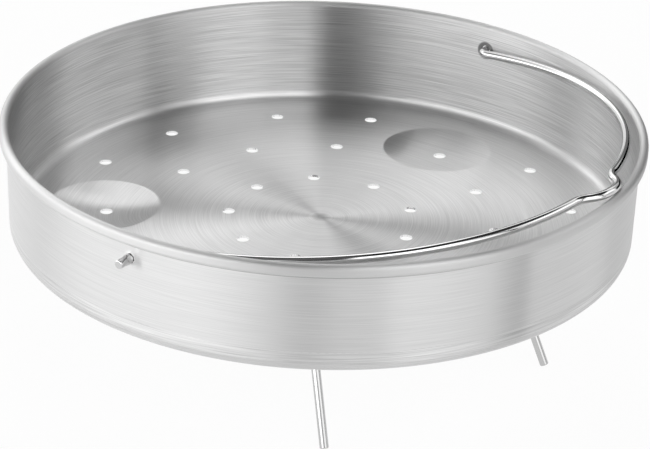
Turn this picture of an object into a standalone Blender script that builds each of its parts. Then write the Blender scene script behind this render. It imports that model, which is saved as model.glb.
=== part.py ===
# A steamer insert: a perforated steel pan with a rolled rim and a swinging wire bail, on a loose wire trivet.
# Units are metres and +Z is up. The trivet's feet stand at Z = 0, and the pan's axis is X = Y = 0.
# The bail's pivot axis runs along Y, and at rest the bail lies towards +X.

import math

import bmesh
import bpy
from mathutils import Matrix, Vector

for old_object in list(bpy.data.objects):
    bpy.data.objects.remove(old_object, do_unlink=True)

# Clearances
GAP = 0.0003                # between pieces that touch
PIVOT_PLAY = 0.0003         # round the bail's ends in the wall, on the radius
HEM_SLIT = 0.0003           # between the rolled rim's edge and the wall

# Pan, with heights above the plane of its underside
WALL_RADIUS = 0.1077        # outside of the wall just under the rim
WALL_TAPER = 0.0006         # the wall's foot is this much smaller in radius
PAN_HEIGHT = 0.0394         # to the top of the rim
SHEET = 0.0008              # steel sheet
FOOT_FILLET = 0.0045        # outer corner between wall and floor
HEM_PROUD = 0.0023          # the rolled rim stands out from the wall by this much
HEM_DROP = 0.0043           # height of the rolled rim
TUCK_RADIUS = 0.0013        # lower corner of the rolled rim
FLAT_RING = 0.0026          # flat ring of floor between the fillet and the dome
DOME_RISE = 0.0017          # the floor's centre stands this much higher than its edge

# Holes in the floor
HOLE_DIAMETER = 0.0044
INNER_RING = 0.0322         # radius of the ring of nine
MIDDLE_RING = 0.0603        # radius of the three groups of three
OUTER_MARGIN = 0.0117       # from the outer ring of holes to the edge of the dome
PATTERN_ANGLE = 88.8        # direction of the first dimple, in degrees
INNER_COUNT = 9
SECTOR = 120.0              # the pattern repeats three times
MIDDLE_ANGLES = (30.0, 60.0, 90.0)
OUTER_ANGLES = (-36.7, -13.9, 13.9, 36.7)   # about the middle of each sector

# Dimples in the floor
DIMPLE_MARGIN = 0.0058      # from a dimple's edge to the edge of the dome
DIMPLE_RADIUS = 0.0192      # at the floor's upper face
DIMPLE_DEPTH = 0.0020       # its underside hangs this far below the pan's underside
DIMPLE_FLAT = 0.0050        # radius of the level spot in the middle of its bowl

# Wire
WIRE = 0.0030               # diameter of every wire
END_ROUND = 0.0004          # rounding at a wire's cut ends

# Bail
PIVOT_HEIGHT = 0.0298       # above the pan's underside
PIVOT_BEND = 0.0030         # centreline radius of the bend inside the wall
BEND_MARGIN = 0.0006        # from that bend to the wall, on the side where the bow lies closer
BOW_SHIFT = 0.0029          # the bow's centre lies this much towards +Y
BOW_STRETCH = 0.0015        # the bow reaches this much further out than it is wide to each side
END_STAND = 0.0060          # each wire end stands out from the wall by this much
EAR_LENGTH = 0.0024         # pinched ear just outside the wall
EAR_CATCH = 0.0001          # the ear is this much wider than the hole, on the radius
EAR_THIN = 0.0011           # half thickness of the pinched ear
NOSE_BASE = 0.0228          # width of the nose at the bow
NOSE_TOP = 0.0126           # width of the nose at its end
NOSE_SHIFT = 0.0083         # the nose's middle lies this much towards +Y
NOSE_SETBACK = 0.0008       # the nose stops this much short of the rim's crown
NOSE_CREST = 0.0009         # the nose's end is this much higher in the middle
NOSE_BEND = 0.0035          # centreline radius of the nose's bends

# Trivet
LEG_HEIGHT = 0.0422         # floor to the plane of the pan's underside
FOOT_RADIUS = 0.0816        # from the pan's axis to each foot
FOOT_ANGLE = 36.6           # from the V's middle line to each front foot, in degrees
LEG_SPLAY = 25.2            # of each leg from the vertical, in degrees
TRIVET_ANGLE = -17.4        # direction of the V's open side, in degrees
CORNER_MARGIN = 0.0041      # from the back leg's bend out to the V's corner, before it is rounded
CORNER_BEND = 0.0050        # centreline radius of the V's corner
LEG_BEND = 0.0060           # centreline radius of each leg's bend
STUB_LENGTH = 0.0220        # the back leg's flat run under the V

# Faces round each shape
PAN_STEPS = 72
DOME_RINGS = 5
FOOT_STEPS = 4
CROWN_STEPS = 6
TUCK_STEPS = 3
HIDDEN_CROWN_STEPS = 4      # on the rolled rim's inside
HIDDEN_TUCK_STEPS = 2
DIMPLE_STEPS = 24
BOWL_STEPS = 5
HOLE_SIDES = 12
PIVOT_SIDES = 16
WIRE_RESOLUTION = 2         # eight sides
BEND_STEPS = 5
BOW_STEP = 3.5              # degrees of the bow for each straight piece
SHARP_ANGLE = 50.0          # edges that turn by more than this many degrees are shown sharp
MERGE = 0.00001             # points closer than this are one

# Sizes that follow from the ones above
FOOT_WALL = WALL_RADIUS - WALL_TAPER
FLOOR_EDGE = FOOT_WALL - FOOT_FILLET
DOME_RADIUS = FLOOR_EDGE - FLAT_RING
CROWN = (HEM_PROUD + SHEET) / 2
CROWN_RADIUS = WALL_RADIUS + HEM_PROUD - CROWN
CROWN_HEIGHT = PAN_HEIGHT - CROWN
HEM_BOTTOM = PAN_HEIGHT - HEM_DROP
DIMPLE_RING = DOME_RADIUS - DIMPLE_MARGIN - DIMPLE_RADIUS
OUTER_RING = DOME_RADIUS - OUTER_MARGIN
WIRE_RADIUS = WIRE / 2
PIVOT_HOLE = WIRE_RADIUS + PIVOT_PLAY


def make_collection(name):
    collection = bpy.data.collections.new(name)
    bpy.context.scene.collection.children.link(collection)
    return collection


parts = make_collection("steamer_insert")
cutters = make_collection("cutters")


def make_material(name, color, roughness):
    material = bpy.data.materials.new(name)
    material.use_nodes = True
    shader = material.node_tree.nodes["Principled BSDF"]
    shader.inputs["Base Color"].default_value = (*color, 1.0)
    shader.inputs["Roughness"].default_value = roughness
    shader.inputs["Metallic"].default_value = 1.0
    return material


def add_object(name, data, collection):
    new_object = bpy.data.objects.new(name, data)
    collection.objects.link(new_object)
    return new_object


def evaluated_mesh(source):
    # The mesh that an object's modifiers or curve settings give.
    bpy.context.view_layer.update()
    graph = bpy.context.evaluated_depsgraph_get()
    return bpy.data.meshes.new_from_object(source.evaluated_get(graph))


# Paths

def arc(center, radius, start, end, segments):
    # Points on an arc round center, from start to end in degrees.
    points = []
    for i in range(segments + 1):
        angle = math.radians(start + (end - start) * i / segments)
        points.append((center[0] + radius * math.cos(angle), center[1] + radius * math.sin(angle)))
    return points


def rounded(corners):
    # A path through (point, bend radius) pairs, with each corner replaced by an arc of its radius.
    path = [Vector(corners[0][0])]
    for before, (point, radius), after in zip(corners, corners[1:-1], corners[2:]):
        corner = Vector(point)
        if radius == 0.0:
            path.append(corner)
            continue
        inward = (Vector(before[0]) - corner).normalized()
        outward = (Vector(after[0]) - corner).normalized()
        half = inward.angle(outward) / 2
        center = corner + (inward + outward).normalized() * radius / math.sin(half)
        start = corner + inward * radius / math.tan(half) - center
        end = corner + outward * radius / math.tan(half) - center
        for i in range(BEND_STEPS + 1):
            path.append(center + start.slerp(end, i / BEND_STEPS).normalized() * radius)
    path.append(Vector(corners[-1][0]))
    return path


def add_wire(name, path, collection):
    # A round wire along a path, with its cut ends slightly rounded.
    first, last = path[0], path[-1]
    start = first + (path[1] - first).normalized() * END_ROUND
    end = last + (path[-2] - last).normalized() * END_ROUND
    points = [first, start] + path[1:-1] + [end, last]
    curve = bpy.data.curves.new(name, "CURVE")
    curve.dimensions = "3D"
    curve.bevel_depth = WIRE_RADIUS
    curve.bevel_resolution = WIRE_RESOLUTION
    curve.use_fill_caps = True
    spline = curve.splines.new("POLY")
    spline.points.add(len(points) - 1)
    for spline_point, point in zip(spline.points, points):
        spline_point.co = (*point, 1.0)
        spline_point.radius = 1.0
    for tip in (spline.points[0], spline.points[-1]):
        tip.radius = 1.0 - END_ROUND / WIRE_RADIUS
    return add_object(name, curve, collection)


# Turned shapes

def add_turned(name, profile, steps, collection):
    # A shape turned round Z from a profile of (radius, height) points.
    mesh = bpy.data.meshes.new(name)
    edges = [(i, i + 1) for i in range(len(profile) - 1)]
    mesh.from_pydata([(radius, 0.0, height) for radius, height in profile], edges, [])
    turned = add_object(name, mesh, collection)
    screw = turned.modifiers.new("turn", "SCREW")
    screw.axis = "Z"
    screw.steps = steps
    screw.render_steps = steps
    screw.use_merge_vertices = True
    screw.merge_threshold = MERGE
    screw.use_smooth_shade = True
    return turned


def polar(radius, degrees, height=0.0):
    angle = math.radians(degrees)
    return Vector((radius * math.cos(angle), radius * math.sin(angle), height))


# Pan

def wall_outside(height):
    # Outer radius of the tapered wall at a height.
    return FOOT_WALL + WALL_TAPER * (height - FOOT_FILLET) / (CROWN_HEIGHT - FOOT_FILLET)


def dome(radius):
    # Height of the floor's underside at a radius.
    return max(0.0, DOME_RISE * (1.0 - (radius / DOME_RADIUS) ** 2))


def dome_rings():
    return [DOME_RADIUS * i / DOME_RINGS for i in range(DOME_RINGS + 1)]


def pan_profile():
    # From the centre of the upper face, up the inside, over the rim, down the outside and back.
    foot = (FLOOR_EDGE, FOOT_FILLET)
    crown = (CROWN_RADIUS, CROWN_HEIGHT)
    tuck = (WALL_RADIUS + HEM_PROUD - TUCK_RADIUS, HEM_BOTTOM + TUCK_RADIUS)
    hem_edge = wall_outside(HEM_BOTTOM) + HEM_SLIT
    points = [(radius, dome(radius) + SHEET) for radius in dome_rings()]
    points += arc(foot, FOOT_FILLET - SHEET, -90, 0, FOOT_STEPS)
    points += arc(crown, CROWN, 180, 0, CROWN_STEPS)
    points += arc(tuck, TUCK_RADIUS, 0, -90, TUCK_STEPS)
    points += [(hem_edge, HEM_BOTTOM), (hem_edge, HEM_BOTTOM + SHEET)]
    points += arc(tuck, TUCK_RADIUS - SHEET, -90, 0, HIDDEN_TUCK_STEPS)
    points += arc(crown, CROWN - SHEET, 0, 180, HIDDEN_CROWN_STEPS)
    points += arc(foot, FOOT_FILLET, 0, -90, FOOT_STEPS)
    points += [(radius, dome(radius)) for radius in reversed(dome_rings())]
    return points


def bowl_radius():
    # Radius of the bowl's section, which rises from the level spot to the dimple's edge at the floor's upper face.
    reach = DIMPLE_RADIUS - DIMPLE_FLAT
    rise = dome(DIMPLE_RING) + DIMPLE_DEPTH
    return (reach ** 2 + rise ** 2) / (2 * rise)


def dimple_profile(section_radius, bottom, top):
    # From the centre of the top, out to the bowl, down it and over the level spot to the centre.
    center = (DIMPLE_FLAT, bottom + section_radius)
    end = math.degrees(math.acos((center[1] - top) / section_radius))
    bowl = arc(center, section_radius, -90, -90 + end, BOWL_STEPS)
    return [(0.0, top)] + bowl[::-1] + [(0.0, bottom)]


def follow_dome(mesh, bottom, level):
    # Tips the plug with the floor's slope, in full from level upwards, and leaves its bottom level.
    slope = -2.0 * DOME_RISE * DIMPLE_RING / DOME_RADIUS ** 2
    for vertex in mesh.vertices:
        vertex.co.z += slope * vertex.co.x * min(1.0, (vertex.co.z - bottom) / (level - bottom))


def join_copies(name, placed):
    # One cutter from (mesh, matrix) pairs.
    joined = bmesh.new()
    for mesh, matrix in placed:
        copy = mesh.copy()
        copy.transform(matrix)
        joined.from_mesh(copy)
        bpy.data.meshes.remove(copy)
    mesh = bpy.data.meshes.new(name)
    joined.to_mesh(mesh)
    joined.free()
    cutter = add_object(name, mesh, cutters)
    cutter.hide_render = True
    cutter.display_type = "WIRE"
    return cutter


def dimple_plugs(name, section_radius, bottom, level, top):
    # A plug at each of the three dimples.
    turned = add_turned(name, dimple_profile(section_radius, bottom, top), DIMPLE_STEPS, cutters)
    plug = evaluated_mesh(turned)
    bpy.data.objects.remove(turned, do_unlink=True)
    follow_dome(plug, bottom, level)
    outward = Matrix.Translation((DIMPLE_RING, 0.0, 0.0))
    turns = [math.radians(PATTERN_ANGLE + SECTOR * i) for i in range(3)]
    return join_copies(name, [(plug, Matrix.Rotation(turn, 4, "Z") @ outward) for turn in turns])


def round_bar(name, radius, length, sides):
    # A cylinder along Z about the origin.
    shape = bmesh.new()
    bmesh.ops.create_cone(shape, cap_ends=True, segments=sides, radius1=radius, radius2=radius, depth=length)
    mesh = bpy.data.meshes.new(name)
    shape.to_mesh(mesh)
    shape.free()
    return mesh


def hole_places():
    # The holes' centres, in three equal sectors that each start at a dimple.
    places = [polar(INNER_RING, PATTERN_ANGLE + 360.0 * i / INNER_COUNT) for i in range(INNER_COUNT)]
    for i in range(3):
        start = PATTERN_ANGLE + SECTOR * i
        places.append(polar(DIMPLE_RING, start))
        places += [polar(MIDDLE_RING, start + angle) for angle in MIDDLE_ANGLES]
        places += [polar(OUTER_RING, start + SECTOR / 2 + angle) for angle in OUTER_ANGLES]
    return places


def cut(target, cutter, operation):
    boolean = target.modifiers.new(cutter.name, "BOOLEAN")
    boolean.operation = operation
    boolean.solver = "EXACT"
    boolean.object = cutter
    cutter.parent = target


def make_pan():
    pan = add_turned("pan_body", pan_profile(), PAN_STEPS, parts)
    floor_height = dome(DIMPLE_RING)
    bowl_bottom = -DIMPLE_DEPTH
    bowl_top = bowl_bottom + SHEET
    blank_top = floor_height + SHEET / 2
    blanks = dimple_plugs("dimple_blanks", bowl_radius() + SHEET, bowl_bottom, blank_top, blank_top)
    face = floor_height + SHEET
    recesses = dimple_plugs("dimple_recesses", bowl_radius(), bowl_top, face, face + SHEET)
    through = 2 * (DIMPLE_DEPTH + DOME_RISE + 2 * SHEET)
    drill = round_bar("drill", HOLE_DIAMETER / 2, through, HOLE_SIDES)
    holes = [(drill, Matrix.Translation(place)) for place in hole_places()]
    pivot_drill = round_bar("pivot_drill", PIVOT_HOLE, 4 * SHEET, PIVOT_SIDES)
    wall_middle = wall_outside(PIVOT_HEIGHT) - SHEET / 2
    for side in (-1, 1):
        place = Matrix.Translation((0.0, side * wall_middle, PIVOT_HEIGHT))
        holes.append((pivot_drill, place @ Matrix.Rotation(math.radians(90), 4, "X")))
    cut(pan, blanks, "UNION")
    cut(pan, recesses, "DIFFERENCE")
    cut(pan, join_copies("holes", holes), "DIFFERENCE")
    pan.location.z = LEG_HEIGHT
    return pan


# Bail, with its pivot axis on the object's origin and its bow towards +X

def nose_reach():
    # Distance from the pivot axis to the nose's crest, which lies on the rim's crown.
    return math.sqrt(CROWN_RADIUS ** 2 - NOSE_SHIFT ** 2) - NOSE_SETBACK


def rest_tilt():
    # Angle above the horizontal at which the nose lies on the rim's crown, at the nose's wider end.
    nose_side = NOSE_SHIFT + NOSE_TOP / 2
    crown_out = math.sqrt(CROWN_RADIUS ** 2 - nose_side ** 2)
    crown_up = CROWN_HEIGHT - PIVOT_HEIGHT
    crown_distance = math.hypot(crown_out, crown_up)
    touch = CROWN + WIRE_RADIUS + GAP
    reach = nose_reach() - NOSE_CREST
    cosine = (reach ** 2 + crown_distance ** 2 - touch ** 2) / (2 * reach * crown_distance)
    return math.atan2(crown_up, crown_out) + math.acos(cosine)


def bow_radius():
    # Half width of the bow, set by the bend that lies closest to the wall.
    return wall_outside(PIVOT_HEIGHT) - SHEET - BEND_MARGIN - PIVOT_BEND - BOW_SHIFT


def bow_point(angle):
    # A point of the bow, from 90 degrees at the +Y end to -90 at the other.
    radius = bow_radius()
    turn = math.radians(angle)
    return Vector(((radius + BOW_STRETCH) * math.cos(turn), BOW_SHIFT + radius * math.sin(turn), 0.0))


def bow_angle(side):
    # Angle at which the bow passes a distance from the pan's middle line.
    return math.degrees(math.asin((side - BOW_SHIFT) / bow_radius()))


def end_points(side):
    # One straight end, from its tip to the bend inside the wall, with its ear's edges.
    wall = wall_outside(PIVOT_HEIGHT)
    ear = wall + GAP
    stands = (wall + END_STAND, ear + EAR_LENGTH + GAP, ear + EAR_LENGTH, ear, ear - GAP / 2)
    points = [((0.0, side * stand, 0.0), 0.0) for stand in stands]
    points.append(((0.0, BOW_SHIFT + side * bow_radius(), 0.0), PIVOT_BEND))
    return points


def bow_points(start, end):
    # The bow between two angles, with both ends.
    steps = max(1, round((start - end) / BOW_STEP))
    return [(bow_point(start + (end - start) * i / steps), 0.0) for i in range(steps + 1)]


def bail_path():
    bend_angle = 90.0 - math.degrees(2 * PIVOT_BEND / bow_radius())
    base_angles = [bow_angle(NOSE_SHIFT + side * NOSE_BASE / 2) for side in (1, -1)]
    reach = nose_reach()
    nose = [(reach - NOSE_CREST, NOSE_SHIFT + NOSE_TOP / 2), (reach, NOSE_SHIFT),
            (reach - NOSE_CREST, NOSE_SHIFT - NOSE_TOP / 2)]
    path = end_points(1)
    path += bow_points(bend_angle, base_angles[0])[:-1]
    path.append((bow_point(base_angles[0]), NOSE_BEND))
    path += [((out, along, 0.0), NOSE_BEND) for out, along in nose]
    path.append((bow_point(base_angles[1]), NOSE_BEND))
    path += bow_points(base_angles[1], -bend_angle)[1:]
    path += end_points(-1)[::-1]
    return rounded(path)


def pinch_ears(mesh):
    # Flattens the wire just outside the wall, so that each ear is wider than the hole it came through.
    ear = wall_outside(PIVOT_HEIGHT) + GAP
    tolerance = GAP / 4
    for vertex in mesh.vertices:
        if ear - tolerance < abs(vertex.co.y) < ear + EAR_LENGTH + tolerance:
            vertex.co.x *= EAR_THIN / WIRE_RADIUS
            vertex.co.z *= (PIVOT_HOLE + EAR_CATCH) / WIRE_RADIUS


def make_bail(pan):
    wire = add_wire("bail_wire", bail_path(), parts)
    mesh = evaluated_mesh(wire)
    place = wire.matrix_world.copy()
    bpy.data.objects.remove(wire, do_unlink=True)
    shape = bmesh.new()
    shape.from_mesh(mesh)
    bmesh.ops.remove_doubles(shape, verts=shape.verts, dist=MERGE)
    shape.to_mesh(mesh)
    shape.free()
    pinch_ears(mesh)
    mesh.shade_smooth()
    mesh.set_sharp_from_angle(angle=math.radians(SHARP_ANGLE))
    bail = add_object("bail_handle", mesh, parts)
    bail.matrix_world = place
    bail.parent = pan
    bail.location = (0.0, 0.0, PIVOT_HEIGHT)
    bail.rotation_euler = (0.0, -rest_tilt(), 0.0)
    return bail


# Trivet, with its V open towards the object's +X

def foot_height():
    # Height of the cut end's centre, so that its lowest edge stands on the floor.
    return (WIRE_RADIUS - END_ROUND) * math.sin(math.radians(LEG_SPLAY))


def leg_run(height):
    # How far a leg runs outwards from its bend at a height to its foot.
    return (height - foot_height()) * math.tan(math.radians(LEG_SPLAY))


def arm_height():
    # Height of the V's centreline, just under the domed floor where the legs bend down.
    bend_radius = FOOT_RADIUS - leg_run(LEG_HEIGHT)
    return LEG_HEIGHT + dome(bend_radius) - GAP - WIRE_RADIUS


def stub_height():
    # Height of the back leg's flat run, which passes under the V's rounded corner, to which it is welded.
    return arm_height() - WIRE - GAP


def back_bend_radius():
    # Distance from the pan's axis to the back leg's bend.
    return FOOT_RADIUS - leg_run(stub_height())


def make_trivet_frame():
    corner = Vector((-back_bend_radius() - CORNER_MARGIN, 0.0, arm_height()))
    foot = polar(FOOT_RADIUS, FOOT_ANGLE, arm_height())
    outward = (foot - corner).normalized()
    bend = foot - outward * leg_run(arm_height())
    foot.z = foot_height()
    mirror = Vector((1.0, -1.0, 1.0))
    path = rounded([(foot, 0.0), (bend, LEG_BEND), (corner, CORNER_BEND), (bend * mirror, LEG_BEND),
                    (foot * mirror, 0.0)])
    frame = add_wire("trivet_frame", path, parts)
    frame.rotation_euler.z = math.radians(TRIVET_ANGLE)
    return frame


def make_trivet_back_leg():
    foot = Vector((-FOOT_RADIUS, 0.0, foot_height()))
    bend = Vector((-back_bend_radius(), 0.0, stub_height()))
    inner_end = bend + Vector((STUB_LENGTH, 0.0, 0.0))
    leg = add_wire("trivet_back_leg", rounded([(foot, 0.0), (bend, LEG_BEND), (inner_end, 0.0)]), parts)
    leg.rotation_euler.z = math.radians(TRIVET_ANGLE)
    return leg


pan_body = make_pan()
bail_handle = make_bail(pan_body)
trivet_frame = make_trivet_frame()
trivet_back_leg = make_trivet_back_leg()

brushed_steel = make_material("brushed_steel", (0.62, 0.61, 0.60), 0.32)
polished_wire = make_material("polished_wire", (0.66, 0.65, 0.64), 0.16)
pan_body.data.materials.append(brushed_steel)
for wire_part in (bail_handle, trivet_frame, trivet_back_leg):
    wire_part.data.materials.append(polished_wire)
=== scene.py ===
import math

import bpy
from mathutils import Matrix, Vector


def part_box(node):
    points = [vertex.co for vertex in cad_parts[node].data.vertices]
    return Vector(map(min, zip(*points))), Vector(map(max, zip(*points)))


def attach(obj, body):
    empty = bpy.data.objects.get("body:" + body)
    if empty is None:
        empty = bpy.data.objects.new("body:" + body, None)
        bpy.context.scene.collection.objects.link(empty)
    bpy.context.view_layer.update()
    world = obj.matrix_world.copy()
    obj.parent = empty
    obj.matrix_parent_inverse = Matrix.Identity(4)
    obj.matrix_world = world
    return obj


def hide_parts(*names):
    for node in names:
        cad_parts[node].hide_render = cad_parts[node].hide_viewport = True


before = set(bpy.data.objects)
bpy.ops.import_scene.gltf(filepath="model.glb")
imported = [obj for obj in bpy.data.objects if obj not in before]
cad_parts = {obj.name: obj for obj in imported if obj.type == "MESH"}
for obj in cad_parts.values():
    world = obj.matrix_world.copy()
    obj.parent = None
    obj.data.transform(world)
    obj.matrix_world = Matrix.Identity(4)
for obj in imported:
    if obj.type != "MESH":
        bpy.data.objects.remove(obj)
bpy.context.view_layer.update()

# Steamer insert: a perforated pan of brushed stainless sheet, a wire bail that turns in its wall,
# and the loose wire trivet that it stands on. Metres, +Z up, pan axis on X = Y = 0, pivots along Y.

print("frame loaded:", ", ".join(sorted(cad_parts)))


# Small helpers

mergeDistance = 0.000002


def turned(radius, degrees, height=0.0):
    angle = math.radians(degrees)
    return Vector((radius * math.cos(angle), radius * math.sin(angle), height))


def arc(centre, radius, start, end, steps):  # points of an arc in the (radius, height) plane
    points = []
    for i in range(steps + 1):
        angle = math.radians(start + (end - start) * i / steps)
        points.append((centre[0] + radius * math.cos(angle), centre[1] + radius * math.sin(angle)))
    return points


def onlyThis(piece):  # the one selected and active object
    bpy.ops.object.select_all(action="DESELECT")
    piece.select_set(True)
    bpy.context.view_layer.objects.active = piece


def drawLine(name, points):  # one point, then extruded from place to place
    bpy.ops.object.select_all(action="DESELECT")
    bpy.ops.mesh.primitive_plane_add(size=0.001, location=(0, 0, 0))
    piece = bpy.context.object
    piece.name = piece.data.name = name
    bpy.ops.object.mode_set(mode="EDIT")
    bpy.ops.mesh.select_mode(type="VERT")
    bpy.ops.mesh.select_all(action="SELECT")
    bpy.ops.mesh.merge(type="CENTER")
    bpy.ops.transform.translate(value=Vector(points[0]))
    for before, after in zip(points, points[1:]):
        bpy.ops.mesh.extrude_vertices_move(TRANSFORM_OT_translate={"value": Vector(after) - Vector(before)})
    return piece


def selectWhere(piece, wanted):  # faces whose centre passes the test, ready for edit mode
    bpy.ops.object.mode_set(mode="EDIT")
    bpy.ops.mesh.select_mode(type="FACE")
    bpy.ops.mesh.select_all(action="DESELECT")
    bpy.ops.object.mode_set(mode="OBJECT")
    for face in piece.data.polygons:
        face.select = wanted(face)
    bpy.ops.object.mode_set(mode="EDIT")


def applyAll(piece):
    onlyThis(piece)
    for modifier in list(piece.modifiers):
        bpy.ops.object.modifier_apply(modifier=modifier.name)


def settle(piece, body, node):  # the piece stands for its CAD node and moves with its body
    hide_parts(node)
    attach(piece, body)


# The pan

pan = {
    "top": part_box("pan_body")[1].z,
    "rimRadius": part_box("pan_body")[1].x,
    "height": 0.0394,            # underside of the floor to the rim's crown
    "sheet": 0.0008,
    "wallTaper": 0.0006,         # the wall's foot is this much smaller in radius
    "footFillet": 0.0045,        # outside radius between wall and floor
    "rimProud": 0.0023,          # rolled rim beyond the wall
    "rimDrop": 0.0043,
    "tuckRadius": 0.0013,        # lower corner of the rolled rim
    "slit": 0.0003,              # rolled rim's edge to the wall
    "flatRing": 0.0026,          # between the fillet and the domed floor
    "domeRise": 0.0017,
    "seamAngle": -22,            # fine line in the foot fillet where the brushing ends, degrees below level
    "seamWidth": 0.00035,
    "seamDepth": 0.0001,
    "steps": 256,                # faces round the pan
    "ringSpacing": 0.0021,       # between rings of the floor
    "wallSteps": 8,              # faces along each stretch of the section
    "filletSteps": 12,
    "crownSteps": 20,
    "tuckSteps": 8,
    "smoothAngle": 35,           # edges sharper than this stay crisp
}

dimple = {
    "count": 3,
    "margin": 0.0250,            # from its middle to the edge of the domed floor
    "first": 88.8,               # direction of the first dimple
    "edge": 0.0198,              # where the bowl leaves the floor
    "shift": (-0.0010, -0.0007),   # the bowls lie a little off their holes
    "press": 0.0028,             # how far its middle is pressed below the domed floor
    "soft": 0.04,                # share of the bowl's radius over which its edge is rounded
    # Shares of the way in from the bowl's edge at which its curve is set.
    "curveShares": (0.12, 0.18, 0.25, 0.35, 0.45, 0.55, 0.65, 0.75, 0.85, 0.93),
    "cuts": 3,                   # finer faces round each dimple
}

holes = {
    "diameter": 0.0044,
    "innerRing": 0.0322,
    "middleRing": 0.0603,
    "outerMargin": 0.0117,       # from the outer ring to the edge of the domed floor
    "innerCount": 9,
    "middleAngles": (30, 60, 90),             # from each dimple
    "outerAngles": (-36.7, -13.9, 13.9, 36.7),   # about the middle between two dimples
    "punchLength": 0.020,
    "sides": 32,
}

pivot = {
    "height": 0.0298,            # above the underside of the floor
    "holeRadius": 0.0018,
    "dishRadius": 0.0027,        # the wall is dished a little where the hole was pierced
    "dishDepth": 0.0002,
    # Share of the way in from the dish's edge, and share of its depth there.
    "dishCurve": ((0.1, 0.05), (0.2, 0.3), (0.3, 0.7), (0.4, 0.95), (0.5, 1)),
    "punchLength": 0.006,
    "sides": 32,
    "cuts": 7,                   # finer faces round each pivot hole
}

base = pan["top"] - pan["height"]
wallRadius = pan["rimRadius"] - pan["rimProud"]
footWall = wallRadius - pan["wallTaper"]
floorEdge = footWall - pan["footFillet"]
domeRadius = floorEdge - pan["flatRing"]
crown = (pan["rimProud"] + pan["sheet"]) / 2
crownHeight = pan["height"] - crown
rimBottom = pan["height"] - pan["rimDrop"]
dimpleRing = domeRadius - dimple["margin"]
outerRing = domeRadius - holes["outerMargin"]
sector = 360 / dimple["count"]   # the pattern of dimples and holes repeats after this many degrees


def wallOutside(height):
    share = (height - pan["footFillet"]) / (crownHeight - pan["footFillet"])
    return footWall + pan["wallTaper"] * share


def dome(radius):  # height of the floor's underside
    return max(0.0, pan["domeRise"] * (1 - (radius / domeRadius) ** 2))


def panSection():  # food side from the middle out, over the rim, back down the outside and under the floor
    sheet, fillet = pan["sheet"], pan["footFillet"]
    foot = (floorEdge, fillet)
    crownCentre = (pan["rimRadius"] - crown, crownHeight)
    tuck = (pan["rimRadius"] - pan["tuckRadius"], rimBottom + pan["tuckRadius"])
    hemEdge = wallOutside(rimBottom) + pan["slit"]
    rings = round(domeRadius / pan["ringSpacing"])
    floorRadii = [domeRadius * i / rings for i in range(rings + 1)]
    wallSteps, filletSteps = pan["wallSteps"], pan["filletSteps"]
    crownSteps, tuckSteps = pan["crownSteps"], pan["tuckSteps"]
    wallHeights = [fillet + (crownHeight - fillet) * i / wallSteps for i in range(1, wallSteps)]
    seam, seamReach = pan["seamAngle"], math.degrees(pan["seamWidth"] / fillet)
    section = [(radius, dome(radius) + sheet) for radius in floorRadii]
    section += arc(foot, fillet - sheet, -90, 0, filletSteps)
    section += [(wallOutside(height) - sheet, height) for height in wallHeights]
    section += arc(crownCentre, crown, 180, 0, crownSteps)
    section += arc(tuck, pan["tuckRadius"], 0, -90, tuckSteps)
    section += [(hemEdge, rimBottom), (hemEdge, rimBottom + sheet)]
    section += arc(tuck, pan["tuckRadius"] - sheet, -90, 0, tuckSteps // 2)
    section += arc(crownCentre, crown - sheet, 0, 180, crownSteps // 2)
    section += [(wallOutside(height), height) for height in reversed(wallHeights)]
    section += arc(foot, fillet, 0, seam + seamReach, filletSteps // 2)
    section += arc(foot, fillet - pan["seamDepth"], seam + seamReach / 4, seam - seamReach / 4, 1)
    section += arc(foot, fillet, seam - seamReach, -90, filletSteps)
    section += [(radius, dome(radius)) for radius in reversed(floorRadii)]
    return [(radius, 0, base + height) for radius, height in section]


def spinPan():
    piece = drawLine("pan", panSection())
    bpy.ops.mesh.select_all(action="SELECT")
    bpy.ops.mesh.spin(steps=pan["steps"], angle=math.tau, use_auto_merge=True,
                      center=(0, 0, 0), axis=(0, 0, 1))
    bpy.ops.mesh.select_all(action="SELECT")
    bpy.ops.mesh.remove_doubles(threshold=mergeDistance)
    bpy.ops.mesh.normals_make_consistent(inside=False)
    bpy.ops.object.mode_set(mode="OBJECT")
    return piece


def dimplePlaces():
    return [turned(dimpleRing, dimple["first"] + sector * i, base + dome(dimpleRing))
            for i in range(dimple["count"])]


def pivotPlaces():
    return [Vector((0, side * (wallOutside(pivot["height"]) - pan["sheet"] / 2), base + pivot["height"]))
            for side in (-1, 1)]


def refine(piece, places, reach, cuts):  # finer faces where the sheet is pressed
    selectWhere(piece, lambda face: min((face.center - place).length for place in places) < reach)
    bpy.ops.mesh.subdivide(number_cuts=cuts)
    bpy.ops.object.mode_set(mode="OBJECT")


def press(piece, start, end, radius, profile):  # the sheet round one place, pushed from there to another
    marks = []
    for name, place in (("pressStart", start), ("pressEnd", end)):
        mark = bpy.data.objects.new(name, None)
        mark.matrix_world = place
        bpy.context.scene.collection.objects.link(mark)
        marks.append(mark)
    bpy.context.view_layer.update()
    warp = piece.modifiers.new("press", "WARP")
    warp.object_from, warp.object_to = marks
    warp.falloff_type = "CURVE"
    warp.falloff_radius = radius
    curve = warp.falloff_curve.curves[0]
    curve.points[1].location = (1, 1)
    for share, depth in profile:
        curve.points.new(share, depth)
    for point in curve.points:
        point.handle_type = "AUTO_CLAMPED"
    warp.falloff_curve.update()
    applyAll(piece)
    for mark in marks:
        bpy.data.objects.remove(mark)


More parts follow.
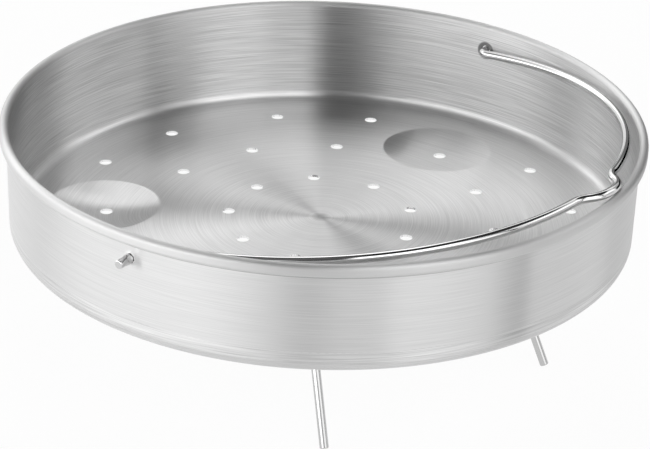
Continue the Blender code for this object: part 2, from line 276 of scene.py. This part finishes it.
def pressDimple(piece, place):  # a shallow bowl with a crisp edge, level although the floor slopes there
    slope = 2 * pan["domeRise"] * dimpleRing / domeRadius ** 2
    facing = Matrix.Rotation(math.atan2(place.y, place.x), 4, "Z")
    soft = dimple["soft"]
    shares = (soft / 4, soft / 2, soft, 2 * soft, *dimple["curveShares"])
    profile = [(share, (1 - (1 - share) ** 2) * share / (share + soft / 2)) for share in shares]
    place = place + Vector((*dimple["shift"], 0))
    lower = Matrix.Translation(place - Vector((0, 0, dimple["press"])))
    levelled = lower @ facing @ Matrix.Rotation(-math.atan(slope), 4, "Y")
    press(piece, Matrix.Translation(place) @ facing, levelled, dimple["edge"], profile)


def pressPivot(piece, place):
    outward = Vector((0, math.copysign(pivot["dishDepth"], place.y), 0))
    press(piece, Matrix.Translation(place), Matrix.Translation(place + outward), pivot["dishRadius"],
          pivot["dishCurve"])


def holePlaces():
    places = [turned(holes["innerRing"], dimple["first"] + 360 * i / holes["innerCount"])
              for i in range(holes["innerCount"])]
    for i in range(dimple["count"]):
        start = dimple["first"] + sector * i
        places.append(turned(dimpleRing, start))
        places += [turned(holes["middleRing"], start + angle) for angle in holes["middleAngles"]]
        places += [turned(outerRing, start + sector / 2 + angle) for angle in holes["outerAngles"]]
    return places


def punch(piece):  # the floor's holes and the two holes that the bail turns in
    bpy.ops.object.select_all(action="DESELECT")
    tools = []
    for place in holePlaces():
        bpy.ops.mesh.primitive_cylinder_add(vertices=holes["sides"], radius=holes["diameter"] / 2,
                                            depth=holes["punchLength"], location=place + Vector((0, 0, base)))
        tools.append(bpy.context.object)
    for side in (-1, 1):
        bpy.ops.mesh.primitive_cylinder_add(vertices=pivot["sides"], radius=pivot["holeRadius"],
                                            depth=pivot["punchLength"],
                                            location=(0, side * wallRadius, base + pivot["height"]),
                                            rotation=(math.pi / 2, 0, 0))
        tools.append(bpy.context.object)
    for tool in tools:
        tool.select_set(True)
    bpy.ops.object.join()
    punchTool = bpy.context.object
    cutHoles = piece.modifiers.new("holes", "BOOLEAN")
    cutHoles.operation = "DIFFERENCE"
    cutHoles.solver = "EXACT"
    cutHoles.object = punchTool
    applyAll(piece)
    bpy.data.objects.remove(punchTool)


def makePan():
    piece = spinPan()
    refine(piece, dimplePlaces(), dimple["edge"] + pan["ringSpacing"], dimple["cuts"])
    for place in dimplePlaces():
        pressDimple(piece, place)
    refine(piece, pivotPlaces(), 2 * pivot["dishRadius"], pivot["cuts"])
    for place in pivotPlaces():
        pressPivot(piece, place)
    punch(piece)
    onlyThis(piece)
    bpy.ops.object.shade_smooth_by_angle(angle=math.radians(pan["smoothAngle"]))
    settle(piece, "pan", "pan_body")
    print("pan:", len(piece.data.polygons), "faces")
    return piece


# Wire

wire = {
    "diameter": 0.0030,
    "endRound": 0.0004,
    "endSteps": 4,
    "resolution": 10,            # 24 faces round the wire
    "bendSteps": 10,
    "smoothAngle": 40,
}
wireRadius = wire["diameter"] / 2


def roundedPath(corners):  # (point, bend radius) pairs, each corner turned into an arc
    path = [Vector(corners[0][0])]
    for before, (point, radius), after in zip(corners, corners[1:-1], corners[2:]):
        corner = Vector(point)
        if radius == 0:
            path.append(corner)
            continue
        inward = (Vector(before[0]) - corner).normalized()
        outward = (Vector(after[0]) - corner).normalized()
        half = inward.angle(outward) / 2
        centre = corner + (inward + outward).normalized() * radius / math.sin(half)
        start = corner + inward * radius / math.tan(half) - centre
        end = corner + outward * radius / math.tan(half) - centre
        for i in range(wire["bendSteps"] + 1):
            path.append(centre + start.slerp(end, i / wire["bendSteps"]).normalized() * radius)
    path.append(Vector(corners[-1][0]))
    return path


def drawWire(name, path):  # a line given the wire's thickness, with its cut ends slightly rounded
    piece = drawLine(name, path)
    bpy.ops.object.mode_set(mode="OBJECT")
    onlyThis(piece)
    bpy.ops.object.convert(target="CURVE")
    curve = bpy.context.object.data
    curve.bevel_depth = wireRadius
    curve.bevel_resolution = wire["resolution"]
    curve.use_fill_caps = True
    bpy.ops.object.convert(target="MESH")
    piece = bpy.context.object
    piece.name = piece.data.name = name
    bpy.ops.object.mode_set(mode="EDIT")
    bpy.ops.mesh.select_all(action="SELECT")
    bpy.ops.mesh.remove_doubles(threshold=mergeDistance)
    bpy.ops.mesh.normals_make_consistent(inside=False)
    selectWhere(piece, lambda face: len(face.vertices) == 3)
    bpy.ops.mesh.dissolve_faces()
    bpy.ops.mesh.bevel(offset=wire["endRound"], segments=wire["endSteps"], affect="EDGES")
    bpy.ops.object.mode_set(mode="OBJECT")
    bpy.ops.object.shade_smooth_by_angle(angle=math.radians(wire["smoothAngle"]))
    return piece


# The bail

bail = {
    "tilt": 5.93,                # above level, where its nose lies on the rim
    "bowShift": 0.0029,          # the bow's centre lies this much towards +Y
    "bowStretch": 0.0015,        # and it reaches this much further out than it is wide
    "bendRadius": 0.0030,
    "bendMargin": 0.0006,
    "endStand": 0.0060,          # each end beyond the wall
    "gap": 0.0003,
    "earLength": 0.0024,         # pinched ear just outside the wall
    "earThin": 0.0012,           # half its thickness, and below half its width
    "earWide": 0.0019,
    "earSquareness": 0.4,        # lower pinches it more evenly along its length
    "earSteps": 8,
    "noseBase": 0.0228,
    "noseTop": 0.0126,
    "noseShift": 0.0083,
    "noseSetback": 0.0008,
    "noseCrest": 0.0009,
    "noseBend": 0.0098,
    "bowStep": 1.5,              # degrees
}
pivotWall = wallOutside(pivot["height"])
bowRadius = pivotWall - pan["sheet"] - bail["bendMargin"] - bail["bendRadius"] - bail["bowShift"]
pivotPlace = Vector((0, 0, base + pivot["height"]))


def bowPoint(degrees):
    turn = math.radians(degrees)
    return Vector(((bowRadius + bail["bowStretch"]) * math.cos(turn),
                   bail["bowShift"] + bowRadius * math.sin(turn), 0)) + pivotPlace


def bowAngle(side):
    return math.degrees(math.asin((side - bail["bowShift"]) / bowRadius))


def bow(start, end):
    steps = round((start - end) / bail["bowStep"])
    return [(bowPoint(start + (end - start) * i / steps), 0) for i in range(steps + 1)]


def bailEnd(side):  # from the cut end inwards, with rings through the ear for its pinch
    ear = pivotWall + bail["gap"]
    stands = [pivotWall + bail["endStand"]]
    stands += [ear + bail["earLength"] * (1 - i / bail["earSteps"]) for i in range(bail["earSteps"] + 1)]
    points = [(Vector((0, side * stand, 0)) + pivotPlace, 0) for stand in stands]
    corner = Vector((0, bail["bowShift"] + side * bowRadius, 0)) + pivotPlace
    return points + [(corner, bail["bendRadius"])]


def bailPath():
    bendAngle = 90 - math.degrees(2 * bail["bendRadius"] / bowRadius)
    leftBase, rightBase = [bowAngle(bail["noseShift"] + side * bail["noseBase"] / 2) for side in (1, -1)]
    crownRadius = pan["rimRadius"] - crown
    reach = math.sqrt(crownRadius ** 2 - bail["noseShift"] ** 2) - bail["noseSetback"]
    nose = [(reach - bail["noseCrest"], bail["noseShift"] + bail["noseTop"] / 2), (reach, bail["noseShift"]),
            (reach - bail["noseCrest"], bail["noseShift"] - bail["noseTop"] / 2)]
    path = bailEnd(1) + bow(bendAngle, leftBase)[:-2]
    path.append((bowPoint(leftBase), bail["noseBend"]))
    path += [(Vector((out, along, 0)) + pivotPlace, bail["noseBend"]) for out, along in nose]
    path.append((bowPoint(rightBase), bail["noseBend"]))
    path += bow(rightBase, -bendAngle)[2:] + bailEnd(-1)[::-1]
    return roundedPath(path)


def pinchEar(piece, side):  # flattened between two jaws, deepest in the middle
    ear, steps = pivotWall + bail["gap"], bail["earSteps"]
    for i in range(1, steps):
        stand = side * (ear + bail["earLength"] * i / steps)
        depth = math.sin(math.pi * i / steps) ** bail["earSquareness"]
        thin = 1 + depth * (bail["earThin"] / wireRadius - 1)
        wide = 1 + depth * (bail["earWide"] / wireRadius - 1)
        bpy.ops.object.mode_set(mode="EDIT")
        bpy.ops.mesh.select_mode(type="VERT")
        bpy.ops.mesh.select_all(action="DESELECT")
        bpy.ops.object.mode_set(mode="OBJECT")
        for vertex in piece.data.vertices:
            vertex.select = abs(vertex.co.y - stand) < bail["earLength"] / (4 * steps)
        bpy.ops.object.mode_set(mode="EDIT")
        bpy.ops.transform.resize(value=(thin, 1, wide), center_override=(0, stand, pivotPlace.z))
    bpy.ops.object.mode_set(mode="OBJECT")


def makeBail():
    piece = drawWire("bail", bailPath())
    for side in (-1, 1):
        pinchEar(piece, side)
    bpy.ops.object.mode_set(mode="EDIT")
    bpy.ops.mesh.select_all(action="SELECT")
    bpy.ops.transform.rotate(value=math.radians(bail["tilt"]), orient_axis="Y", center_override=pivotPlace)
    bpy.ops.object.mode_set(mode="OBJECT")
    settle(piece, "bail", "bail_handle")
    print("bail:", len(piece.data.polygons), "faces")
    return piece


# The trivet

trivet = {
    "footRadius": 0.0816,        # pan's axis to each foot
    "footAngle": 36.6,           # from the V's middle line to a front foot
    "splay": 25.2,               # of each leg from upright
    "direction": -17.4,          # of the V's open side
    "cornerMargin": 0.0041,      # back leg's bend out to the V's corner
    "cornerBend": 0.0050,
    "legBend": 0.0060,
    "stub": 0.0220,              # back leg's flat run under the V
    "gap": 0.0003,
}
splay = math.radians(trivet["splay"])
footHeight = (wireRadius - wire["endRound"]) * math.sin(splay) + wire["endRound"] * (1 - math.cos(splay))


def legRun(height):  # how far a leg runs out from its bend to its foot
    return (height - footHeight) * math.tan(splay)


armHeight = base + dome(trivet["footRadius"] - legRun(base)) - trivet["gap"] - wireRadius
stubHeight = armHeight - wire["diameter"] - trivet["gap"]
backBend = trivet["footRadius"] - legRun(stubHeight)


def turnTrivet(corners):
    turn = Matrix.Rotation(math.radians(trivet["direction"]), 3, "Z")
    return [(turn @ Vector(point), radius) for point, radius in corners]


def makeTrivetFrame():
    corner = Vector((-backBend - trivet["cornerMargin"], 0, armHeight))
    foot = turned(trivet["footRadius"], trivet["footAngle"], armHeight)
    bend = foot - (foot - corner).normalized() * legRun(armHeight)
    foot.z = footHeight
    mirror = Vector((1, -1, 1))
    corners = [(foot, 0), (bend, trivet["legBend"]), (corner, trivet["cornerBend"]),
               (bend * mirror, trivet["legBend"]), (foot * mirror, 0)]
    piece = drawWire("trivetFrame", roundedPath(turnTrivet(corners)))
    settle(piece, "trivet", "trivet_frame")
    return piece


def makeBackLeg():
    foot = Vector((-trivet["footRadius"], 0, footHeight))
    bend = Vector((-backBend, 0, stubHeight))
    innerEnd = bend + Vector((trivet["stub"], 0, 0))
    corners = [(foot, 0), (bend, trivet["legBend"]), (innerEnd, 0)]
    piece = drawWire("trivetBackLeg", roundedPath(turnTrivet(corners)))
    settle(piece, "trivet", "trivet_back_leg")
    return piece


# Materials

def linear(hexColour):  # sRGB hex to the linear values that a shader takes
    channels = [int(hexColour[i:i + 2], 16) / 255 for i in (1, 3, 5)]
    return [c / 12.92 if c <= 0.04045 else ((c + 0.055) / 1.055) ** 2.4 for c in channels] + [1]


def addNode(tree, kind, settings={}, links={}):  # settings are the node's own or its sockets' values
    node = tree.nodes.new("ShaderNode" + kind)
    for name, value in settings.items():
        if isinstance(name, int) or name in node.inputs:
            node.inputs[name].default_value = value
        else:
            setattr(node, name, value)
    for name, source in links.items():
        tree.links.new(source, node.inputs[name])
    return node


brushed = {
    "dark": "#bdbdbd",
    "light": "#e8e8e8",
    "roughness": 0.30,
    "anisotropy": 1.0,
    "lineSpacing": 0.00024,      # real lines are about 0.05 mm apart, too fine to show, so they are coarser
    "lineLength": 0.024,
    "lineDetail": 2,
    "bandSpacing": 0.0011,       # where the brush pressed harder
    "bandLength": 0.080,
    "bandShare": 0.08,
    "outsideContrast": 0.3,      # the lines show less on the outside and on the floor
    "floorContrast": 0.5,
    "floorWander": 0.007,        # of the lines' direction, in turns
    "wallWander": 0.0025,
    "wallStart": 0.002,          # above the floor's underside, where the floor's finish starts to give way
    "paintedShadeAndSpotGrey": "#7c7c7c",      # darker grey, for painted shade in two places and for the metal's own darker spot:
    "pivotShadeRing": 0.0033,         # a ring of painted shade inside round each pivot hole,
    "pivotShadeRingSoft": 0.08,       # share of its radius over which it fades to either side
    "shadeUnderRim": 0.0011,          # a band of painted shade on the wall just under the rolled rim,
    "shadeUnderRimSoft": 0.0003,
    "shadeUnderRimShare": 0.6,
    "centreSpot": 0.0036,        # and the metal's own darker spot on the axis, where the brush hardly moved
    "centreCore": 0.00108,       # dullest within this radius
    "centreShare": 0.6,
}

rimFinish = {
    "colour": "#d2d2d2",
    "roughness": 0.50,
    "smoothest": 0.46,
    "roughest": 0.54,
    "anisotropy": 0.8,
    "lineSpacing": 0.0004,
    "lineLength": 0.060,
    "lineDetail": 2,
}

punched = {
    "colour": "#f2f2f2",
    "roughness": 0.22,
    "smoothest": 0.16,
    "roughest": 0.30,
    "lineSpacing": 0.0002,
    "lineHeight": 0.0025,
}

polished = {
    "colour": "#d6d6d6",
    "roughness": 0.09,
    "smoothest": 0.06,
    "roughest": 0.13,
    "marksRound": 26,            # drawing marks round the wire
    "marksAlong": 5,
}

drawn = {
    "colour": "#c6c6c6",
    "roughness": 0.20,
    "smoothest": 0.14,
    "roughest": 0.26,
    "marksRound": 40,
    "marksAlong": 2,
}

noiseRange = {"From Min": 0.3, "From Max": 0.7}  # nearly all values of a noise lie in it
lineRoughness = 0.6
acrossLines = 0.25               # a quarter turn spreads reflections across lines that run round the pan


def newMaterial(name, roughness):
    material = bpy.data.materials.new(name)
    material.use_nodes = True
    tree = material.node_tree
    shader = tree.nodes["Principled BSDF"]
    shader.inputs["Metallic"].default_value = 1
    shader.inputs["Roughness"].default_value = roughness
    return material, tree, shader


def linkShine(tree, shader, noise, finish):  # roughness that varies between the finish's two limits
    limits = {"To Min": finish["smoothest"], "To Max": finish["roughest"]}
    shine = addNode(tree, "MapRange", {**noiseRange, **limits}, {"Value": noise.outputs["Fac"]})
    tree.links.new(shine.outputs["Result"], shader.inputs["Roughness"])


def smearRound(tree, shader, anisotropy):
    tangent = addNode(tree, "Tangent", {"direction_type": "RADIAL", "axis": "Z"})
    tree.links.new(tangent.outputs["Tangent"], shader.inputs["Tangent"])
    shader.inputs["Anisotropic"].default_value = anisotropy
    shader.inputs["Anisotropic Rotation"].default_value = acrossLines


def fromAxis(tree, place):  # distance from the pan's axis
    level = addNode(tree, "VectorMath", {"operation": "MULTIPLY", 1: (1, 1, 0)}, {0: place.outputs["Object"]})
    return addNode(tree, "VectorMath", {"operation": "LENGTH"}, {0: level.outputs["Vector"]})


def circularLines(tree, spacing, length, detail):  # noise drawn out round the pan's axis
    place = addNode(tree, "TexCoord")
    axes = addNode(tree, "SeparateXYZ", {}, {"Vector": place.outputs["Object"]})
    radius = fromAxis(tree, place)
    across = addNode(tree, "Math", {"operation": "ADD"}, {0: radius.outputs["Value"], 1: axes.outputs["Z"]})
    fine = addNode(tree, "Math", {"operation": "MULTIPLY", 1: 1 / spacing}, {0: across.outputs[0]})
    drawnOut = addNode(tree, "VectorMath", {"operation": "SCALE", "Scale": 1 / length},
                       {0: place.outputs["Object"]})
    along = addNode(tree, "SeparateXYZ", {}, {"Vector": drawnOut.outputs["Vector"]})
    lineSpace = addNode(tree, "CombineXYZ", {},
                        {"X": along.outputs["X"], "Y": along.outputs["Y"], "Z": fine.outputs[0]})
    return addNode(tree, "TexNoise", {"Scale": 1, "Detail": detail, "Roughness": lineRoughness},
                   {"Vector": lineSpace.outputs["Vector"]})


def paintedShadeAndSpotShare(tree, place, height, inside):  # how much of the darker grey goes on at each place: painted shade round the pivot holes and under the rim, and the darker spot on the axis
    # a ring of painted shade on the inner wall round each pivot hole
    ring, soft = brushed["pivotShadeRing"], brushed["pivotShadeRingSoft"]
    toPivot = addNode(tree, "VectorMath",
                      {"operation": "MULTIPLY_ADD", 1: (1, 0, 1), 2: (0, 0, -pivotPlace.z)},
                      {0: place.outputs["Object"]})
    away = addNode(tree, "VectorMath", {"operation": "LENGTH"}, {0: toPivot.outputs["Vector"]})
    pivotShade = addNode(tree, "MapRange", {"From Min": (1 + soft) * ring, "From Max": (1 - soft) * ring},
                        {"Value": away.outputs["Value"]})
    rings = addNode(tree, "Math", {"operation": "MULTIPLY"},
                    {0: pivotShade.outputs["Result"], 1: inside.outputs[0]})
    centre = addNode(tree, "MapRange", {"From Min": brushed["centreSpot"], "From Max": brushed["centreCore"],
                                        "To Max": brushed["centreShare"]},
                     {"Value": fromAxis(tree, place).outputs["Value"]})
    # a band of painted shade on the outer wall just under the rolled rim
    shadeStripEnd = base + rimBottom - brushed["shadeUnderRim"]
    shadeStrip = addNode(tree, "MapRange", {"From Min": shadeStripEnd, "From Max": shadeStripEnd + brushed["shadeUnderRimSoft"],
                                       "To Max": brushed["shadeUnderRimShare"]}, {"Value": height})
    outsideShadeStrip = addNode(tree, "MapRange", {"To Max": 0.0},
                           {"Value": inside.outputs[0], "To Min": shadeStrip.outputs["Result"]})
    most = addNode(tree, "Math", {"operation": "MAXIMUM"}, {0: rings.outputs[0], 1: centre.outputs["Result"]})
    return addNode(tree, "Math", {"operation": "MAXIMUM"},
                   {0: most.outputs[0], 1: outsideShadeStrip.outputs["Result"]})


def brushedSteel():
    # Stainless sheet, brushed in circles while the pan turned: fine concentric lines that smear every
    # reflection across them, so light and dark fall in fans on the floor and in upright bands on the wall.
    material, tree, shader = newMaterial("brushedStainlessSheet", brushed["roughness"])
    smearRound(tree, shader, brushed["anisotropy"])
    place = addNode(tree, "TexCoord")
    height = addNode(tree, "SeparateXYZ", {}, {"Vector": place.outputs["Object"]}).outputs["Z"]
    inside = addNode(tree, "Math", {"operation": "LESS_THAN", 1: pivotWall - pan["sheet"] / 2},
                     {0: fromAxis(tree, place).outputs["Value"]})
    onWall = addNode(tree, "MapRange", {"From Min": base + brushed["wallStart"],
                                        "From Max": base + pan["footFillet"]}, {"Value": height})

    lines = circularLines(tree, brushed["lineSpacing"], brushed["lineLength"], brushed["lineDetail"])
    bands = circularLines(tree, brushed["bandSpacing"], brushed["bandLength"], brushed["lineDetail"])
    both = addNode(tree, "MapRange", {"Value": brushed["bandShare"]},
                   {"To Min": lines.outputs["Fac"], "To Max": bands.outputs["Fac"]})
    tone = addNode(tree, "MapRange", noiseRange, {"Value": both.outputs["Result"]})
    insideContrast = addNode(tree, "MapRange", {"To Min": brushed["floorContrast"]},
                             {"Value": onWall.outputs["Result"]})
    contrast = addNode(tree, "MapRange", {"To Min": brushed["outsideContrast"]},
                       {"Value": inside.outputs[0], "To Max": insideContrast.outputs["Result"]})
    shownTone = addNode(tree, "Mix", {2: 0.5}, {0: contrast.outputs["Result"], 3: tone.outputs["Result"]})
    steel = addNode(tree, "ValToRGB", {}, {"Fac": shownTone.outputs[0]})
    steel.color_ramp.elements[0].color = linear(brushed["dark"])
    steel.color_ramp.elements[1].color = linear(brushed["light"])
    # darker grey mixed in: painted shade round the pivot holes and under the rolled rim, and the metal's
    # darker spot on the axis
    paintedShadeAndSpot = paintedShadeAndSpotShare(tree, place, height, inside)
    surface = addNode(tree, "Mix", {"data_type": "RGBA", 7: linear(brushed["paintedShadeAndSpotGrey"])},
                      {0: paintedShadeAndSpot.outputs[0], 6: steel.outputs["Color"]})
    tree.links.new(surface.outputs[2], shader.inputs["Base Color"])

    wander = addNode(tree, "MapRange", {"To Min": brushed["floorWander"], "To Max": brushed["wallWander"]},
                     {"Value": onWall.outputs["Result"]})
    eitherWay = addNode(tree, "MapRange", {**noiseRange, "To Min": -1.0}, {"Value": lines.outputs["Fac"]})
    turn = addNode(tree, "Math", {"operation": "MULTIPLY_ADD", 2: acrossLines},
                   {0: eitherWay.outputs["Result"], 1: wander.outputs["Result"]})
    tree.links.new(turn.outputs[0], shader.inputs["Anisotropic Rotation"])
    return material


def rolledRimSteel():
    # The same sheet where the rolling tool smoothed it: a soft shine with faint lines left along the rim.
    material, tree, shader = newMaterial("rolledStainlessRim", rimFinish["roughness"])
    shader.inputs["Base Color"].default_value = linear(rimFinish["colour"])
    smearRound(tree, shader, rimFinish["anisotropy"])
    lines = circularLines(tree, rimFinish["lineSpacing"], rimFinish["lineLength"], rimFinish["lineDetail"])
    linkShine(tree, shader, lines, rimFinish)
    return material


def punchedSteel():
    # The cut walls of the punched holes: bright fresh metal, with fine lines left by the punch.
    material, tree, shader = newMaterial("punchedStainlessEdge", punched["roughness"])
    shader.inputs["Base Color"].default_value = linear(punched["colour"])
    place = addNode(tree, "TexCoord")
    spacing, height = punched["lineSpacing"], punched["lineHeight"]
    across = addNode(tree, "Mapping", {"Scale": (1 / spacing, 1 / spacing, 1 / height)},
                     {"Vector": place.outputs["Object"]})
    marks = addNode(tree, "TexNoise", {"Scale": 1, "Detail": 1}, {"Vector": across.outputs["Vector"]})
    linkShine(tree, shader, marks, punched)
    return material


def wireSteel(name, finish):
    # Drawn stainless wire. The bail's is polished, with sharp reflections and a trace of the drawing marks
    # along it. The trivet's is left as drawn, so its reflections are softer and a little greyer.
    material, tree, shader = newMaterial(name, finish["roughness"])
    shader.inputs["Base Color"].default_value = linear(finish["colour"])
    wireMap = addNode(tree, "UVMap", {"uv_map": "UVMap"})
    along = addNode(tree, "Mapping", {"Scale": (finish["marksRound"], finish["marksAlong"], 1)},
                    {"Vector": wireMap.outputs["UV"]})
    marks = addNode(tree, "TexNoise", {"Scale": 1, "Detail": 2}, {"Vector": along.outputs["Vector"]})
    linkShine(tree, shader, marks, finish)
    return material


def finishPan(piece):  # brushed all over, except for the rolled rim and the walls of the holes
    rimStart = wallOutside(rimBottom) + pan["slit"] / 2
    hemBottom = base + rimBottom - pan["slit"]
    upright = 0.5                # a face whose normal rises less than this stands upright
    finishes = (
        (brushedSteel(), lambda face: True),
        (rolledRimSteel(), lambda face: face.center.z > base + crownHeight or
         face.center.xy.length > rimStart and face.center.z > hemBottom),
        (punchedSteel(), lambda face: face.center.xy.length < domeRadius and abs(face.normal.z) < upright),
    )
    for slot, (material, where) in enumerate(finishes):
        piece.data.materials.append(material)
        selectWhere(piece, where)
        piece.active_material_index = slot
        bpy.ops.object.material_slot_assign()
        bpy.ops.object.mode_set(mode="OBJECT")


# Room

room = {
    "floorColour": "#ffffff",
    "floorSize": 8.0,
    "floorGlow": 0.94,           # share of plain white that the camera sees in the floor
    "sides": 1.0,                # brightness of the studio round the object, where 1 is white
    "top": 0.03,                 # and straight above it
    "sidesEnd": 50,              # degrees up, where the sides start to fade to the top
    "topStart": 62,
    "softUp": 7,                 # soft upper and lower edge of each panel, degrees
}

panels = {
    # Soft boxes and dark flags of the studio: degrees round from the camera's side to the right, half the
    # width, softness of its sides, lowest and highest degrees up, brightness.
    "table": (0, 181, 1, -90, -2, 0.92),
    "leftBoxLow": (-63, 42, 48, -6, 21, 3.4),
    "leftBox": (-62, 26, 30, 21, 36, 1.8),
    "leftTopFlag": (-58, 56, 25, 36, 90, 0.15),
    "backLeftBox": (-145, 26, 8, 17, 35, 2.0),
    "backLeftLow": (-126, 12, 12, -6, 16, 2.0),
    "cameraFlag": (-8, 12, 12, 19, 90, 0.1),
    "cameraFlagLow": (8, 17, 14, -6, 19, 0.5),
    "rightBox": (29, 24, 8, 19, 52, 2.3),
    "rightBoxLow": (43, 19, 8, -6, 19, 1.7),
    "rightWallLow": (89, 11, 8, -6, 20, 0.65),
    "rightWall": (99, 17, 12, 20, 45, 1.65),
    "rightFlag": (68.8, 2.0, 1.5, 4, 50, 0.0),
    "rightFlagLow": (75, 1.9, 1.5, -70, 4, 0.1),
    "backRightFlag": (138, 22, 10, -6, 20, 0.0),
    "backRightShade": (135, 14, 10, 20, 40, 0.5),
    "rightTopFlag": (118, 54, 12, 44, 90, 0.04),
    "backRightBox": (163, 13, 8, 31, 43, 1.3),
    "backShade": (167, 13, 4, 12, 30, 0.2),
    "backFlag": (172, 15, 4, -6, 12, 0.05),
    "backBox": (187, 17, 10, 35, 66, 1.9),
}


def makeFloor():
    bpy.ops.object.select_all(action="DESELECT")
    bpy.ops.mesh.primitive_plane_add(size=room["floorSize"], location=(0, 0, 0))
    floor = bpy.context.object
    floor.name = "floor"
    material = bpy.data.materials.new("paleFloor")
    material.use_nodes = True
    tree = material.node_tree
    tree.nodes.clear()
    output = addNode(tree, "OutputMaterial")
    paper = addNode(tree, "BsdfDiffuse", {"Color": linear(room["floorColour"])})
    glow = addNode(tree, "Emission", {"Color": linear(room["floorColour"]), "Strength": 1.0})
    path = addNode(tree, "LightPath")
    share = addNode(tree, "Math", {"operation": "MULTIPLY", 1: room["floorGlow"]},
                    {0: path.outputs["Is Camera Ray"]})
    seen = addNode(tree, "MixShader", {}, {0: share.outputs[0], 1: paper.outputs[0], 2: glow.outputs[0]})
    through = addNode(tree, "BsdfTransparent")  # the metal sees the studio below the table's level instead
    mix = addNode(tree, "MixShader", {},
                  {0: path.outputs["Is Glossy Ray"], 1: seen.outputs[0], 2: through.outputs[0]})
    tree.links.new(mix.outputs[0], output.inputs["Surface"])
    floor.data.materials.append(material)


def panelShare(tree, angle, middle, half, soft):  # 1 inside the panel, 0 outside, with a soft edge between
    offset = addNode(tree, "Math", {"operation": "SUBTRACT", 1: math.radians(middle)}, {0: angle.outputs[0]})
    nearest = addNode(tree, "Math", {"operation": "WRAP", 1: math.pi, 2: -math.pi}, {0: offset.outputs[0]})
    distance = addNode(tree, "Math", {"operation": "ABSOLUTE"}, {0: nearest.outputs[0]})
    return addNode(tree, "MapRange", {"interpolation_type": "SMOOTHSTEP",
                                      "From Min": math.radians(half + soft / 2),
                                      "From Max": math.radians(half - soft / 2)},
                   {"Value": distance.outputs[0]})


def makeWorld():
    world = bpy.data.worlds.new("studio")
    bpy.context.scene.world = world
    world.use_nodes = True
    tree = world.node_tree
    tree.nodes.clear()
    output = addNode(tree, "OutputWorld")
    place = addNode(tree, "TexCoord")
    axes = addNode(tree, "SeparateXYZ", {}, {"Vector": place.outputs["Generated"]})
    around = addNode(tree, "Math", {"operation": "ARCTAN2"}, {0: axes.outputs["Y"], 1: axes.outputs["X"]})
    up = addNode(tree, "Math", {"operation": "ARCSINE"}, {0: axes.outputs["Z"]})
    level = addNode(tree, "MapRange", {"From Min": math.radians(room["sidesEnd"]),
                                       "From Max": math.radians(room["topStart"]),
                                       "To Min": room["sides"], "To Max": room["top"]},
                    {"Value": up.outputs[0]})
    cameraSide = view["azimuth"] - 90
    for degrees, half, soft, low, high, brightness in panels.values():
        side = panelShare(tree, around, cameraSide + degrees, half, soft)
        rise = panelShare(tree, up, (low + high) / 2, (high - low) / 2, room["softUp"])
        inside = addNode(tree, "Math", {"operation": "MULTIPLY"}, {0: side.outputs[0], 1: rise.outputs[0]})
        level = addNode(tree, "MapRange", {"To Max": brightness},
                        {"Value": inside.outputs[0], "To Min": level.outputs["Result"]})
    path = addNode(tree, "LightPath")
    shown = addNode(tree, "MapRange", {"To Max": 1.0},
                    {"Value": path.outputs["Is Camera Ray"], "To Min": level.outputs["Result"]})
    sky = addNode(tree, "Background", {"Color": (1, 1, 1, 1)}, {"Strength": shown.outputs["Result"]})
    tree.links.new(sky.outputs[0], output.inputs["Surface"])


# Camera and studio

view = {
    "azimuth": 33.3,
    "elevation": 26.215,
    "roll": 2.035,
    "distance": 0.9606,
    "lens": 153.66,
    "sensor": 36,
    "aimSide": 0.001474,         # the point aimed at, to the right of the pan's axis
    "aimHeight": 0.041804,
}


def makeCamera():
    azimuth, elevation, roll = [math.radians(view[k]) for k in ("azimuth", "elevation", "roll")]
    back = Vector((math.sin(azimuth) * math.cos(elevation), -math.cos(azimuth) * math.cos(elevation),
                   math.sin(elevation)))
    side = Vector((math.cos(azimuth), math.sin(azimuth), 0))
    up = back.cross(side)
    right = side * math.cos(roll) + up * math.sin(roll)
    up = up * math.cos(roll) - side * math.sin(roll)
    data = bpy.data.cameras.new("camera")
    data.lens = view["lens"]
    data.sensor_width = view["sensor"]
    camera = bpy.data.objects.new("camera", data)
    bpy.context.scene.collection.objects.link(camera)
    place = side * view["aimSide"] + Vector((0, 0, view["aimHeight"])) + back * view["distance"]
    camera.matrix_world = Matrix((right, up, back)).transposed().to_4x4()
    camera.matrix_world.translation = place
    bpy.context.scene.camera = camera


makeCamera()
print("camera placed")
panPiece = makePan()
finishPan(panPiece)
polishedWire = wireSteel("polishedStainlessWire", polished)
drawnWire = wireSteel("drawnStainlessWire", drawn)
wires = ((makeBail(), polishedWire), (makeTrivetFrame(), drawnWire), (makeBackLeg(), drawnWire))
for piece, material in wires:
    piece.data.materials.clear()
    piece.data.materials.append(material)
print("wires finished")
makeFloor()
makeWorld()
bpy.context.scene.view_settings.view_transform = "Standard"
print("studio ready")
